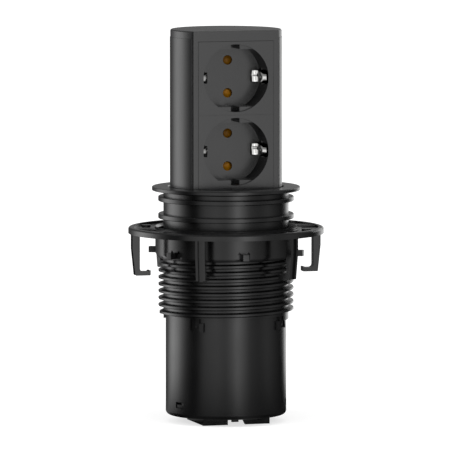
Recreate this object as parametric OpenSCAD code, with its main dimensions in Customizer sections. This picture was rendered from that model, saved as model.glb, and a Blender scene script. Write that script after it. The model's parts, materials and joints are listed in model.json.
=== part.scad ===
/* [Column] */
// Width of the column's flat face on each side of a socket module
column_edge = 3; // [2.6:0.1:4]
// Distance from the axis to the flat front of the column
column_flat = 20; // [19:0.5:21]
// Wall of the column shell
column_wall = 2; // [1.6:0.1:2.4]
// Height of the raised column above the flange
column_rise = 90.9; // [90:0.1:100]
// Length of the column that stays below the flange underside when raised
column_tail = 24.5; // [24:0.5:30]
// Height of the top cap
cap_h = 4.4; // [3:0.2:6]
// Thickness of the front plate sheet
plate_t = 1; // [0.8:0.1:1.4]

/* [Sockets] */
// Width of one socket module
module_w = 45; // [44:0.5:46]
// Height of one socket module
module_h = 42.3; // [42:0.1:43]
// Height of the lower module's lower edge above the flange underside
module_z = 2.4; // [2:0.1:4]
// Diameter of the plug recess
recess_d = 39; // [38:0.5:40]
// Depth of the plug recess
recess_depth = 17; // [16:0.5:17.5]
// Distance between the two flats of the recess
recess_flats = 33.2; // [32:0.2:34]
// Depth of the lands outside the flats below the face
land_depth = 1.8; // [1:0.2:3]
// Width of the keying slot in each land
key_slot_w = 5.2; // [4:0.2:6]
// Spacing of the two pin holes
pin_spacing = 19; // [18.5:0.5:19.5]
// Diameter of a pin hole
pin_hole_d = 5.5; // [5:0.1:6]
// Wall of the recess cup
cup_wall = 1.5; // [1.2:0.1:1.8]
// Width of the earth contact strip
earth_w = 6.4; // [5.6:0.1:7]

/* [Flange and barrel] */
// Width of the flange outside the barrel
flange_w = 6.6; // [5:0.2:12]
// Thickness of the flange
flange_t = 2.2; // [1.6:0.1:3]
// How much wider the mouth is than the bore, on each side
mouth_gap = 0.4; // [0.2:0.1:0.8]
// Wall of the barrel
barrel_wall = 3.5; // [3:0.1:4.5]
// Length of the barrel below the flange
barrel_l = 71.6; // [70:0.2:80]
// How far the centring ribs stand out of the barrel
rib_l = 3; // [2:0.1:3.2]
// Depth of the first centring rib below the flange
rib_z = 4.75; // [4:0.05:6]
// Spacing of the two centring ribs
rib_pitch = 10; // [8:0.1:11]
// Width of a centring rib
rib_w = 2.8; // [2:0.1:4]

/* [Thread] */
// Pitch of the barrel thread
thread_pitch = 4; // [3.6:0.2:4.4]
// How far the thread stands out of the barrel
thread_depth = 2.9; // [2:0.1:3]
// Number of turns of the barrel thread
thread_turns = 12; // [10:1:12]

/* [Clamp] */
// Width of the clamp ring outside the nut
ring_w = 15.6; // [14:0.2:22]
// Height of the clamp ring's rim
ring_h = 3.6; // [3:0.1:6]
// Depth of the clamp ring's top face below the flange underside
ring_drop = 21.2; // [20:0.2:24]
// Number of legs and of pegs
leg_count = 6; // [3:1:8]
// Length of a leg below the ring's top face
leg_l = 27.1; // [24:0.1:32]
// Width of a leg
leg_w = 5.6; // [5:0.1:9]
// Wall of the clamp nut outside its thread
nut_wall = 1.4; // [1.2:0.1:2]
// Height of the clamp nut
nut_h = 17.6; // [16:0.2:20]
// How far a peg stands out of the nut
peg_l = 5.2; // [3:0.1:5.6]

/* [Housing] */
// Wall of the lower housing
housing_wall = 2.2; // [1.8:0.1:2.4]
// Depth of the housing's underside below the flange underside
housing_z = 130; // [128:0.2:140]
// Thickness of the housing's floor
floor_t = 2; // [1.6:0.1:3]
// Width of the cable shroud under the housing
shroud_w = 40; // [34:1:42]
// Distance from the axis to the front of the shroud
shroud_front = 21; // [18:0.5:21]
// Depth of the shroud below the housing
shroud_h = 4.2; // [3:0.2:8]

/* [Lift] */
// Gear module of the damper pinion and its rack
gear_module = 1; // [0.9:0.05:1.1]
// Number of teeth on the damper pinion
pinion_teeth = 12; // [11:1:13]
// Width of the guide rail
rail_w = 8; // [7:0.5:8]
// Length of the latch arm from its pivot to its follower pin
arm_l = 19; // [18:0.5:20]

/* [Hidden] */
$fn = 72;

// Clearances shared by the pieces that meet
slide_gap = 0.3;
seat_gap = 0.1;
pivot_gap = 0.05;
thread_gap = 0.4;
skin = 0.01;

column_r = norm([column_flat, module_w / 2 + column_edge]);
column_top = flange_t + column_rise;
shell_in = column_r - column_wall;
bore_r = column_r + slide_gap;
mouth_r = bore_r + mouth_gap;
barrel_r = bore_r + barrel_wall;
flange_r = barrel_r + flange_w;
rib_r = barrel_r + rib_l;
thread_r = barrel_r + thread_depth;
housing_r = bore_r + housing_wall;
nut_r = thread_r + thread_gap + nut_wall;
ring_r = nut_r + ring_w;
recess_r = recess_d / 2;
cup_r = recess_r + cup_wall;
travel = column_rise;

// Heights of the two socket centres
lower_socket_z = module_z + module_h / 2;
upper_socket_z = lower_socket_z + module_h;

// Depths behind the front face, from the recess floor backwards
recess_floor = recess_depth - column_flat;
sheet_t = 1.5;
shutter_y = recess_floor + sheet_t + 0.2;
shutter_t = 1.4;
shutter_travel = 5.5;
earth_t = 0.8;
earth_y = recess_floor + 4.4;
carrier_y = earth_y + earth_t + 0.2;
carrier_t = 12.5;
carrier_half_w = 13.1;
carrier_half_h = 20;
cover_screw_x = 11.7;
strip_t = 0.8;
bar_y = carrier_y + carrier_t - strip_t - 0.1;
cover_y = carrier_y + carrier_t + seat_gap;
cover_t = 1.6;

// Column base
lip_t = 2;
base_bottom = -column_tail - lip_t;
base_floor = -column_tail + 0.5;
mech_z = base_floor + 7.5;

// Guide rail, rack and damper
rail_y = cover_y + cover_t + 2;
rail_t = 5.5;
rail_top = -6;
insert_top = -housing_z + floor_t + 2.2;
rack_teeth = 34;
pitch_r = gear_module * pinion_teeth / 2;
tooth_pitch = PI * gear_module;
tooth_tip = 0.8 * gear_module;
tooth_root = 1.1 * gear_module;
tooth_gap = 0.16;
pinion_x = rail_w / 2 + pitch_r;
pinion_t = 4;
strip_w = 4.5;
coil_r = 5.4;
drum_x = -rail_w / 2 - 1.1 - coil_r;

// Latch
cam_x = 11;
groove_half = 5.4;
island_half = 2.2;
lane_x = (groove_half + island_half) / 2;
arm_x = cam_x - lane_x;
arm_y = -8.6;
arm_t = 1.6;
pivot_z = insert_top + 3.9;
pin_z = pivot_z + arm_l;
follower_r = 1;
latch_over = 2;
cam_y = arm_y + arm_t + 0.4;
cam_t = 4;
groove_depth = 2;
groove_top = pin_z + travel + follower_r + 0.6;
notch_drop = arm_l * (1 - cos(asin(lane_x / arm_l)));
notch_z = pin_z + travel - latch_over - 1.33 * follower_r - 0.1 - notch_drop;

// Cable entry on the column base
cable_x = -9;
cable_y = -5;
cable_r = 4.1;

module d_profile(r, flat) {
    intersection() {
        circle(r = r);
        translate([-r, -flat])
            square([2 * r, r + flat]);
    }
}

module ring_2d(outer, inner) {
    difference() {
        circle(r = outer);
        circle(r = inner);
    }
}

module box(x0, x1, y0, y1, z0, z1) {
    translate([x0, y0, z0])
        cube([x1 - x0, y1 - y0, z1 - z0]);
}

// A cylinder that lies along the Y axis, from y0 to y1
module rod_y(r, x, z, y0, y1) {
    translate([x, y0, z])
        rotate([-90, 0, 0])
            cylinder(r = r, h = y1 - y0);
}

// Outline of a bent strip of one thickness, with mitred corners
function unit(v) = v / norm(v);

function side_step(p, i) =
    let (last = len(p) - 1,
         before = unit(i > 0 ? p[i] - p[i - 1] : p[1] - p[0]),
         after = unit(i < last ? p[i + 1] - p[i] : p[last] - p[last - 1]),
         mid = unit(before + after))
    [-mid[1], mid[0]] / (mid * before);

module band(p, t) {
    last = len(p) - 1;
    polygon(concat([for (i = [0:last]) p[i] + side_step(p, i) * t / 2],
                   [for (i = [last:-1:0]) p[i] - side_step(p, i) * t / 2]));
}

// Helical ridge: a trapezoid that climbs one pitch a turn and fades at both ends
ridge_steps = 30;

function ridge_points(root_r, tip_r, root_w, tip_w, z0, turns) =
    [for (i = [0:turns * ridge_steps])
        let (a = i * 360 / ridge_steps,
             z = z0 + thread_pitch * i / ridge_steps,
             rise = min(1, 8 * i / ridge_steps, 8 * (turns * ridge_steps - i) / ridge_steps),
             r = root_r + (tip_r - root_r) * max(rise, 0.05))
        each [[root_r * cos(a), root_r * sin(a), z - root_w / 2],
              [r * cos(a), r * sin(a), z - tip_w / 2],
              [r * cos(a), r * sin(a), z + tip_w / 2],
              [root_r * cos(a), root_r * sin(a), z + root_w / 2]]];

function ridge_faces(count) =
    concat([[0, 1, 2], [0, 2, 3]],
           [for (i = [0:count - 1], s = [0:3])
               let (a = 4 * i + s, b = 4 * i + (s + 1) % 4, c = a + 4, d = b + 4)
               each [[a, c, b], [b, c, d]]],
           [[4 * count + 2, 4 * count + 1, 4 * count], [4 * count + 3, 4 * count + 2, 4 * count]]);

function turned(faces) = [for (f = faces) [f[2], f[1], f[0]]];

module ridge(root_r, tip_r, root_w, tip_w, z0, turns) {
    faces = ridge_faces(turns * ridge_steps);
    polyhedron(ridge_points(root_r, tip_r, root_w, tip_w, z0, turns),
               tip_r > root_r ? turned(faces) : faces, convexity = 10);
}

// The thread starts low at the back, so that it ends with the barrel at the front
thread_low = -barrel_l + 0.85;
thread_start = 126;

// Barrel: flange, centring ribs and threaded tube in one moulding
module barrel_section() {
    edge = 0.4;
    rib_edge = 0.5;
    seat = barrel_l - 14;
    difference() {
        union() {
            translate([bore_r, -barrel_l])
                square([barrel_r - bore_r, barrel_l]);
            translate([bore_r, 0])
                square([flange_r - edge - bore_r, flange_t]);
            translate([bore_r, edge])
                square([flange_r - bore_r, flange_t - 2 * edge]);
            for (z = [edge, flange_t - edge])
                translate([flange_r - edge, z])
                    circle(r = edge);
            polygon([[barrel_r - 0.2, 0.2], [barrel_r + 0.9, 0.2], [barrel_r + 0.9, 0], [barrel_r, -0.9],
                     [barrel_r - 0.2, -0.9]]);
            for (z = [-rib_z, -rib_z - rib_pitch]) {
                translate([barrel_r - 0.4, z - rib_w / 2])
                    square([rib_l + 0.4 - rib_edge, rib_w]);
                translate([barrel_r - 0.4, z - rib_w / 2 + rib_edge])
                    square([rib_l + 0.4, rib_w - 2 * rib_edge]);
                for (s = [-1, 1])
                    translate([rib_r - rib_edge, z + s * (rib_w / 2 - rib_edge)])
                        circle(r = rib_edge);
            }
        }
        polygon([[bore_r - 1, flange_t + 1], [mouth_r + 1.4, flange_t + 1], [mouth_r, flange_t - 0.6],
                 [mouth_r, -3], [bore_r, -4], [bore_r - 1, -4]]);
        translate([bore_r - 1, -barrel_l - 1])
            square([housing_r + seat_gap - bore_r + 1, barrel_l - seat + 1]);
    }
}

// Tongues under the barrel that hook the lower housing, a thin finger beside each, and two stop lugs
module hooks() {
    low = -barrel_l - 7.7;
    inner = housing_r + 0.15;
    high = -barrel_l + 0.2;
    intersection() {
        rotate_extrude()
            polygon([[inner, low], [barrel_r + 0.4, low], [barrel_r - 0.2, high], [inner, high]]);
        for (back = [0, 1], side = [0, 1])
            mirror([0, back, 0])
                mirror([side, 0, 0]) {
                    rotate([0, 0, 44]) {
                        box(-1.1, 1.1, -barrel_r - 1, -inner + 4, low + 2, high);
                        translate([0, -inner + 4, 0])
                            rotate([90, 0, 0])
                                linear_extrude(8)
                                    polygon([[-3.9, low], [-2.3, low], [1.1, low + 2], [1.1, low + 5.1],
                                             [-3.9, low + 5.1]]);
                    }
                    rotate([0, 0, 52])
                        box(-0.4, 0.4, -barrel_r - 1, -inner + 4, low + 0.8, high);
                }
    }
    intersection() {
        translate([0, 0, -barrel_l - 2.8])
            linear_extrude(3)
                ring_2d(barrel_r - 0.02, inner);
        for (a = [62, 242])
            rotate([0, 0, a])
                box(-6.9, 6.9, -barrel_r - 1, 0, low, high);
    }
}

module barrel() {
    color("dimgray") {
        rotate_extrude()
            barrel_section();
        difference() {
            rotate([0, 0, thread_start])
                ridge(barrel_r - 0.8, thread_r, 3.4, 1.2, thread_low, thread_turns);
            translate([0, 0, -barrel_l])
                cylinder(r = barrel_r - 0.4, h = barrel_l);
            translate([0, 0, -barrel_l - 5 + 0.05])
                cylinder(r = thread_r + 1, h = 5);
        }
        hooks();
    }
}

// Guide block that fills the space before the flat of the column
module front_guide() {
    wall = 1.8;
    face = column_flat + slide_gap;
    r = bore_r - seat_gap;
    top = -8;
    low = base_bottom + lip_t + slide_gap;
    color("dimgray")
        difference() {
            translate([0, 0, low])
                linear_extrude(top - low)
                    difference() {
                        circle(r = r);
                        translate([-r - 1, -face])
                            square([2 * r + 2, r + face + 1]);
                    }
            translate([0, 0, low - 1])
                linear_extrude(top - low + 1 - wall)
                    difference() {
                        circle(r = r - wall);
                        translate([-r - 1, -face - wall])
                            square([2 * r + 2, r + face + wall + 1]);
                        translate([-0.8, -r])
                            square([1.6, r]);
                    }
        }
}

// Lower housing: a cup whose floor is open for the cable shroud
window_z = -housing_z + 7.3;
window_h = 3.4;
window_w = 6.9;
window_angles = [67, 113, -67, -113];
shroud_back = 12;

module lower_housing() {
    round_r = 2.4;
    top = -barrel_l + 14 - seat_gap;
    color("dimgray")
        difference() {
            rotate_extrude()
                difference() {
                    union() {
                        translate([0, -housing_z])
                            square([housing_r - round_r, round_r]);
                        translate([0, -housing_z + round_r])
                            square([housing_r, top + housing_z - round_r]);
                        translate([housing_r - round_r, -housing_z + round_r])
                            circle(r = round_r);
                    }
                    translate([-1, -housing_z + floor_t])
                        square([bore_r + 1, housing_z]);
                }
            box(-shroud_w / 2 - seat_gap, shroud_w / 2 + seat_gap, -shroud_front - seat_gap,
                shroud_back + seat_gap, -housing_z - 1, -housing_z + floor_t + 1);
            for (a = window_angles)
                rotate([0, 0, a])
                    box(-window_w / 2, window_w / 2, -housing_r - 1, -bore_r + 1, window_z - window_h / 2,
                        window_z + window_h / 2);
        }
}

// Bottom insert: plate, cable shroud, snap tongues and the latch arm's clevis
exit_x = [-17.6, 0.6];
exit_y = [-14, 6];

module snap_tongue() {
    r = bore_r - seat_gap;
    intersection() {
        union() {
            translate([0, 0, insert_top - 0.5])
                linear_extrude(window_z + window_h / 2 + 0.8 - insert_top + 0.5)
                    ring_2d(r, r - 2);
            translate([0, 0, window_z - window_h / 2 + 0.2])
                linear_extrude(window_h / 2)
                    ring_2d(housing_r - 0.5, r - 1);
        }
        box(-window_w / 2 + 0.3, window_w / 2 - 0.3, -housing_r - 1, -bore_r + 5, -housing_z, 0);
    }
}

module bottom_insert() {
    plate_r = bore_r - seat_gap;
    plate_z = -housing_z + floor_t + 0.02;
    wall = 2;
    low = -housing_z - shroud_h;
    color("dimgray")
        difference() {
            union() {
                translate([0, 0, plate_z])
                    cylinder(r = plate_r, h = insert_top - plate_z);
                difference() {
                    box(-shroud_w / 2, shroud_w / 2, -shroud_front, shroud_back, low, plate_z + 1);
                    box(-shroud_w / 2 + wall, shroud_w / 2 - wall, -shroud_front + wall, shroud_back - wall,
                        low - 1, plate_z);
                    translate([0, -shroud_front + wall + 0.5, 0])
                        rotate([90, 0, 0])
                            linear_extrude(wall + 1)
                                polygon([[-5.2, low - 1], [5.8, low - 1], [3.6, low + shroud_h - 0.7],
                                         [-5.2, low + shroud_h - 0.7]]);
                }
                box(-2.6, 1.4, -shroud_front + 0.6, -shroud_front + 2.2, low + 1.5, low + shroud_h);
                for (a = window_angles)
                    rotate([0, 0, a])
                        snap_tongue();
                for (y = [arm_y - 0.3 - 1.8, arm_y + arm_t + 0.3])
                    box(arm_x - 3, arm_x + 3, y, y + 1.8, insert_top - 0.5, pivot_z + 2);
                rod_y(1.2, arm_x, pivot_z, arm_y - 1, arm_y + arm_t + 1);
            }
            box(exit_x[0], exit_x[1], exit_y[0], exit_y[1], low - 1, insert_top + 1);
            for (x = [-1, 1])
                translate([x * 7, rail_y + rail_t / 2, low])
                    cylinder(r = 1.2, h = housing_z);
        }
}

// Guide rail with the damper rack along one side
module rack_tooth() {
    flank = tan(20);
    half = tooth_pitch / 4 - tooth_gap / 2;
    polygon([[-tooth_root, -half - tooth_root * flank], [tooth_tip, -half + tooth_tip * flank],
             [tooth_tip, half - tooth_tip * flank], [-tooth_root, half + tooth_root * flank]]);
}

module guide_rail() {
    foot_top = insert_top + 3;
    color("gray")
        difference() {
            union() {
                box(-rail_w / 2, rail_w / 2 - tooth_root + skin, rail_y, rail_y + rail_t, insert_top, rail_top);
                box(-rail_w / 2 - 1, -rail_w / 2 + skin, rail_y + 0.2, rail_y + rail_t - 0.2, rail_top - 3.5,
                    rail_top);
                box(-9.4, 9.4, rail_y - 1.6, rail_y + rail_t + 1, insert_top, foot_top);
                for (i = [0:rack_teeth - 1])
                    translate([rail_w / 2, rail_y + rail_t, mech_z + (i - 30.5) * tooth_pitch])
                        rotate([90, 0, 0])
                            linear_extrude(rail_t)
                                rack_tooth();
            }
            for (x = [-1, 1])
                translate([x * 7, rail_y + rail_t / 2, insert_top - 1])
                    cylinder(r = 1.4, h = 6);
            translate([-rail_w / 2 - 2, rail_y + rail_t / 2, rail_top - 1.8])
                rotate([0, 90, 0])
                    cylinder(r = 0.7, h = 5);
        }
}

// A pan-head screw that points down, with its head's underside at z = 0
module screw(d, l, head_d, head_h) {
    cylinder(d = head_d, h = head_h);
    translate([0, 0, -l])
        cylinder(d = d, h = l + skin);
}

module rail_screws() {
    color("silver")
        for (x = [-1, 1])
            translate([x * 7, rail_y + rail_t / 2, insert_top + 3])
                screw(2.2, 4.8, 4.4, 1.6);
}

// Steel strip that runs from the drum up to the top of the rail
module lift_strip() {
    color("silver")
        difference() {
            box(-rail_w / 2 - 1.25, -rail_w / 2 - 1.02, rail_y + 0.5, rail_y + 0.5 + strip_w, mech_z, rail_top);
            translate([-rail_w / 2 - 2, rail_y + rail_t / 2, rail_top - 1.8])
                rotate([0, 90, 0])
                    cylinder(r = 0.75, h = 5);
        }
}

module strip_screw() {
    color("silver")
        translate([-rail_w / 2 - 1.27, rail_y + rail_t / 2, rail_top - 1.8])
            rotate([0, -90, 0])
                screw(1.3, 4, 2.6, 0.9);
}

// Clamp ring: rim, recessed web, hub and hooked legs
hub_r = nut_r + thread_gap;
ring_top = -ring_drop;
ring_low = ring_top - ring_h;
web_top = ring_top - 1.2;
web_low = ring_low + 1;
rim_w = 3;
// The legs and pegs stand a little to one side of the front
clamp_turn = -2.3;

module leg_section() {
    outer = ring_r - 0.5;
    inner = outer - 4.1;
    tip = inner - 6.4;
    low = ring_top - leg_l;
    foot = 2.3;
    polygon([[outer, ring_low + 1], [outer, ring_low - 8], [outer - 1.6, low + 0.4], [outer - 2, low],
             [tip + 0.4, low], [tip, low + 0.4], [tip, low + foot + 0.6], [tip + 0.9, low + foot + 0.6],
             [tip + 1.2, low + foot], [inner - 1.4, low + foot], [inner - 0.4, low + foot + 0.6],
             [inner, low + foot + 1.8], [inner, ring_low + 1]]);
}

module leg() {
    cheek = 1.4;
    rotate([90, 0, 0])
        translate([0, 0, -leg_w / 2])
            union() {
                for (z = [0, leg_w - cheek])
                    translate([0, 0, z])
                        linear_extrude(cheek)
                            leg_section();
                linear_extrude(leg_w)
                    intersection() {
                        leg_section();
                        polygon([[0, 0], [ring_r - 1.7, 0], [ring_r - 1.7, ring_low - 8],
                                 [ring_r - 3.3, ring_top - leg_l], [0, ring_top - leg_l]]);
                    }
            }
}

module clamp_ring() {
    hub_w = 2.4;
    color("dimgray") {
        rotate_extrude()
            union() {
                translate([ring_r - rim_w, ring_low])
                    square([rim_w - 1.1, ring_h]);
                translate([ring_r - 1.2, ring_low])
                    square([1.2, ring_h - 1.1]);
                translate([ring_r - 1.2, ring_top - 1.2])
                    circle(r = 1.2);
                translate([hub_r, ring_low])
                    square([hub_w, ring_h - 0.8]);
                translate([hub_r + 0.1, web_low])
                    square([ring_r - rim_w - hub_r, web_top - web_low]);
            }
        for (i = [0:leg_count - 1])
            rotate([0, 0, clamp_turn + i * 360 / leg_count]) {
                leg();
                translate([0, 0, web_top - skin])
                    for (s = [-1, 1])
                        translate([hub_r + 1, s * 2.8 - 0.6, 0])
                            cube([ring_r - rim_w - hub_r, 1.2, 0.7]);
                rotate([0, 0, 180 / leg_count])
                    translate([(hub_r + ring_r - rim_w) / 2 + 0.6, 0, web_top - skin])
                        cylinder(r = 2.7, h = 1);
            }
    }
}

// Clamp nut: threaded collar with a shoulder under the ring and pegs
module clamp_nut() {
    lip_top = ring_top + 0.4;
    low = lip_top - nut_h;
    bore = thread_r + thread_gap;
    peg_z = low + 2.85;
    color("gray") {
        difference() {
            rotate_extrude()
                union() {
                    polygon([[bore, lip_top - 1.3], [bore + 1.2, lip_top], [nut_r, lip_top], [nut_r, low + 2.3],
                             [bore + 0.1, low], [bore, low]]);
                    translate([bore + 0.5, ring_low - slide_gap - 1])
                        square([nut_r + 1 - bore - 0.5, 1]);
                }
            for (i = [0:leg_count - 1])
                rotate([0, 0, clamp_turn + (i + 0.5) * 360 / leg_count])
                    for (s = [-1, 1])
                        translate([bore - 0.5, s * 2.7, peg_z])
                            rotate([90, 0, 90])
                                linear_extrude(4)
                                    polygon([[-0.9, -1.6], [0.9, -1.6], [0.9, 2], [0, 3.1], [-0.9, 2]]);
        }
        rotate([0, 0, thread_start])
            ridge(bore + 0.7, barrel_r + 0.6, 2.7, 0.5, thread_low + thread_pitch * 8.5, 3);
        for (i = [0:leg_count - 1])
            rotate([0, 0, clamp_turn + (i + 0.5) * 360 / leg_count])
                translate([nut_r - 0.8, -1.75, peg_z - 1.7])
                    cube([peg_l + 0.8, 3.5, 3.5]);
    }
}

// Column shell: the round side, with a return behind each edge of the front plate
module column_shell() {
    returns = 2;
    edge = column_flat - plate_t;
    color("dimgray")
        difference() {
            translate([0, 0, -column_tail])
                linear_extrude(column_top - cap_h + column_tail)
                    union() {
                        difference() {
                            d_profile(column_r, edge);
                            circle(r = shell_in);
                        }
                        for (s = [-1, 1])
                            intersection() {
                                d_profile(column_r, edge);
                                translate([s > 0 ? module_w / 2 + 1.3 : -column_r, -edge])
                                    square([column_r - module_w / 2 - 1.3, returns]);
                            }
                    }
            for (a = [-50, 50])
                rotate([0, 0, a])
                    translate([0, column_r + 1, -column_tail + 5])
                        rotate([90, 0, 0]) {
                            cylinder(r = 1.5, h = 8);
                            cylinder(r1 = 3.9, r2 = 1.5, h = 2.6);
                        }
        }
}

// Front plate: a sheet over the whole flat, open for the two socket modules
module front_plate() {
    gap = 0.1;
    edge = column_flat - plate_t;
    low = module_z - gap;
    high = module_z + 2 * module_h + gap;
    color("dimgray")
        difference() {
            union() {
                translate([0, 0, -column_tail])
                    linear_extrude(column_top + column_tail)
                        union() {
                            intersection() {
                                d_profile(column_r, column_flat);
                                translate([-column_r, -column_flat])
                                    square([2 * column_r, 0.4]);
                            }
                            intersection() {
                                d_profile(column_r - 0.7, column_flat - 0.2);
                                translate([-column_r, -column_flat])
                                    square([2 * column_r, plate_t - 0.02]);
                            }
                        }
                box(-module_w / 2 - 0.7, module_w / 2 + 0.7, -edge - 0.1, -edge + 1.6, -column_tail, low - 0.4);
                box(-module_w / 2 - 0.7, module_w / 2 + 0.7, -edge - 0.1, -edge + 1.6, high + 0.3,
                    column_top - cap_h - 0.1);
            }
            box(-module_w / 2 - gap, module_w / 2 + gap, -column_flat - 1, -edge + 2, low, high);
        }
}

// Top cap: a shallow D-shaped lid with a skirt inside the shell
module top_cap() {
    bevel = 0.6;
    edge = column_flat - plate_t;
    r = column_r - 0.25;
    low = column_top - cap_h;
    color("gray") {
        intersection() {
            union() {
                translate([0, 0, low])
                    cylinder(r = r, h = cap_h - bevel);
                translate([0, 0, column_top - bevel])
                    cylinder(r1 = r, r2 = r - bevel, h = bevel);
            }
            box(-column_r, column_r, -edge + 0.02, column_r, low - 1, column_top + 1);
        }
        translate([0, 0, low - 5.5])
            linear_extrude(5.6)
                difference() {
                    d_profile(shell_in - seat_gap, 0);
                    circle(r = shell_in - seat_gap - 1.8);
                }
    }
}

// Socket module: face, plug recess with its lands and keying slots, and the shutter tracks
module socket_module(z) {
    y0 = -column_flat;
    floor_y = recess_floor;
    back = floor_y + sheet_t;
    color("dimgray")
        translate([0, 0, z])
            difference() {
                union() {
                    box(-module_w / 2, module_w / 2, y0, y0 + 2, -module_h / 2 + 0.03, module_h / 2 - 0.03);
                    box(-module_w / 2 - 0.8, module_w / 2 + 0.8, y0 + plate_t + 0.1, y0 + 2.5,
                        -module_h / 2 + 0.03, module_h / 2 - 0.03);
                    intersection() {
                        rod_y(cup_r, 0, 0, y0 + 0.5, back);
                        box(-cup_r, cup_r, y0, back, -module_h / 2 + 0.03, module_h / 2 - 0.03);
                    }
                    for (s = [-1, 1], t = [-1, 1])
                        box(s * 14.2 - 0.9, s * 14.2 + 0.9, back - 0.5, carrier_y + 5, t * 10 - 3, t * 10 + 3);
                    box(-1.3, 1.3, back - 0.5, shutter_y + shutter_t + 0.9, -5.9, -5);
                    for (s = [-1, 1])
                        box(s * 4.8 - 0.5, s * 4.8 + 0.5, back - 0.5, shutter_y + shutter_t + 0.3, -18.8, 12.5);
                }
                intersection() {
                    rod_y(recess_r, 0, 0, y0 - 1, floor_y);
                    box(-recess_r, recess_r, y0 - 1, floor_y, -recess_flats / 2, recess_flats / 2);
                }
                rod_y(recess_r, 0, 0, y0 - 1, y0 + land_depth);
                intersection() {
                    rod_y(recess_r, 0, 0, y0 - 1, floor_y);
                    box(-key_slot_w / 2, key_slot_w / 2, y0 - 1, floor_y - 2, -recess_r, recess_r);
                }
                for (s = [-1, 1]) {
                    rod_y(pin_hole_d / 2, 0, s * pin_spacing / 2, floor_y - 1, back + 1);
                    box(-2.9, 2.9, floor_y + 0.6, back + 1, s * pin_spacing / 2 - 2.9 - shutter_travel,
                        s * pin_spacing / 2 + 2.9);
                    box(s * 14.4 - 0.6, s * 14.4 + 0.6, floor_y - 1, back + 1, -earth_w / 2 - 0.2,
                        earth_w / 2 + 0.2);
                    box(min(s * 17.9, s * 21.2), max(s * 17.9, s * 21.2), y0 + 0.5, floor_y + 0.1,
                        -earth_w / 2 - 0.6, earth_w / 2 + 0.6);
                }
            }
}

// Contact carrier: a block behind the cup with two chambers for the pin contacts
module carrier(z) {
    half_w = carrier_half_w;
    half_h = carrier_half_h;
    color("darkslategray")
        translate([0, 0, z])
            difference() {
                box(-half_w, half_w, carrier_y, carrier_y + carrier_t, -half_h, half_h);
                for (s = [-1, 1]) {
                    rod_y(3, 0, s * pin_spacing / 2, carrier_y - 1, carrier_y + 3);
                    box(-4, 4, carrier_y + 1.2, cover_y + 1, s * pin_spacing / 2 - 3.6,
                        s * pin_spacing / 2 + 3.6);
                    box(min(s * 3, s * 10.3), max(s * 3, s * 10.3), bar_y - 0.05, cover_y + 1, -half_h - 1,
                        half_h + 1);
                    translate([s * cover_screw_x, carrier_y + carrier_t + 0.5, s * 15])
                        rotate([90, 0, 0])
                            cylinder(r = 0.9, h = 8.5);
                    translate([s * cover_screw_x, carrier_y + carrier_t + 0.5, -s * 15])
                        rotate([90, 0, 0])
                            cylinder(r = 0.9, h = 8.5);
                }
            }
}

cover_screw_z = [0, lower_socket_z - 15, lower_socket_z + 15, upper_socket_z - 15, upper_socket_z + 15];
terminal_z = -4.5;

module rear_cover() {
    color("darkslategray")
        difference() {
            box(-carrier_half_w, carrier_half_w, cover_y, cover_y + cover_t, terminal_z - 3,
                upper_socket_z + carrier_half_h);
            for (z = cover_screw_z, s = [-1, 1])
                rod_y(1.1, s * cover_screw_x, z, cover_y - 1, cover_y + cover_t + 1);
            for (s = [-1, 1])
                rod_y(2.5, s * 8, terminal_z, cover_y - 1, cover_y + cover_t + 1);
        }
}

module cover_screws() {
    color("silver")
        for (z = cover_screw_z, s = [-1, 1])
            translate([s * cover_screw_x, cover_y + cover_t, z])
                rotate([-90, 0, 0])
                    screw(1.7, 9, 3.6, 1.2);
}

// Earth clip: one strip bent into two sprung side contacts
earth_in = 15.4;
earth_nose = 5;

module earth_clip(z) {
    f = recess_floor - 0.5;
    nose = earth_in + earth_t / 2;
    y = earth_nose - column_flat;
    wall_x = recess_r - 0.1;
    side = [[14.4, earth_y + earth_t / 2], [14.4, f], [wall_x, f], [wall_x, f - 2], [nose + 0.5, y + 1.4],
            [nose + 0.1, y + 0.6], [nose, y], [nose + 0.2, y - 0.6], [nose + 0.6, y - 1.1],
            [nose + 2.4, y - 2.6]];
    last = len(side) - 1;
    path = concat([for (i = [last:-1:0]) [-side[i][0], side[i][1]]], side);
    color("lightgray")
        translate([0, 0, z])
            intersection() {
                translate([0, 0, -earth_w / 2])
                    linear_extrude(earth_w)
                        band(path, earth_t);
                rotate([90, 0, 0])
                    translate([0, 0, -5])
                        linear_extrude(30)
                            polygon([[-19, -1.9], [-17, -earth_w / 2 - 1], [17, -earth_w / 2 - 1], [19, -1.9],
                                     [21, -1.9], [21, 1.9], [19, 1.9], [17, earth_w / 2 + 1],
                                     [-17, earth_w / 2 + 1], [-19, 1.9], [-21, 1.9], [-21, -1.9]]);
            }
}

// Spring contact for one pin: two leaves on a back plate
module pin_contact(z) {
    for (s = [-1, 1])
        translate([0, 0, z - 3])
            linear_extrude(6)
                band([[s * 3, bar_y + strip_t], [s * 3, bar_y - 3], [s * 2.6, carrier_y + 4],
                      [s * 3.2, carrier_y + 2]], 0.7);
    box(-3.3, 3.3, bar_y, bar_y + strip_t, z - 3, z + 3);
}

// Brass bar on one side that joins the like contacts of both sockets
module contact_bar(s) {
    zs = [lower_socket_z - s * pin_spacing / 2, upper_socket_z - s * pin_spacing / 2];
    color("goldenrod")
        difference() {
            union() {
                for (z = zs) {
                    pin_contact(z);
                    box(min(s * 3, s * 6.5), max(s * 3, s * 6.5), bar_y, bar_y + strip_t, z - 2.5, z + 2.5);
                }
                box(min(s * 6, s * 10), max(s * 6, s * 10), bar_y, bar_y + strip_t, terminal_z - 2.3,
                    zs[1] + 2.5);
            }
            rod_y(1.25, s * 8, terminal_z, bar_y - 1, bar_y + 2);
        }
}

module line_bar() { contact_bar(-1); }
module neutral_bar() { contact_bar(1); }

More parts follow.
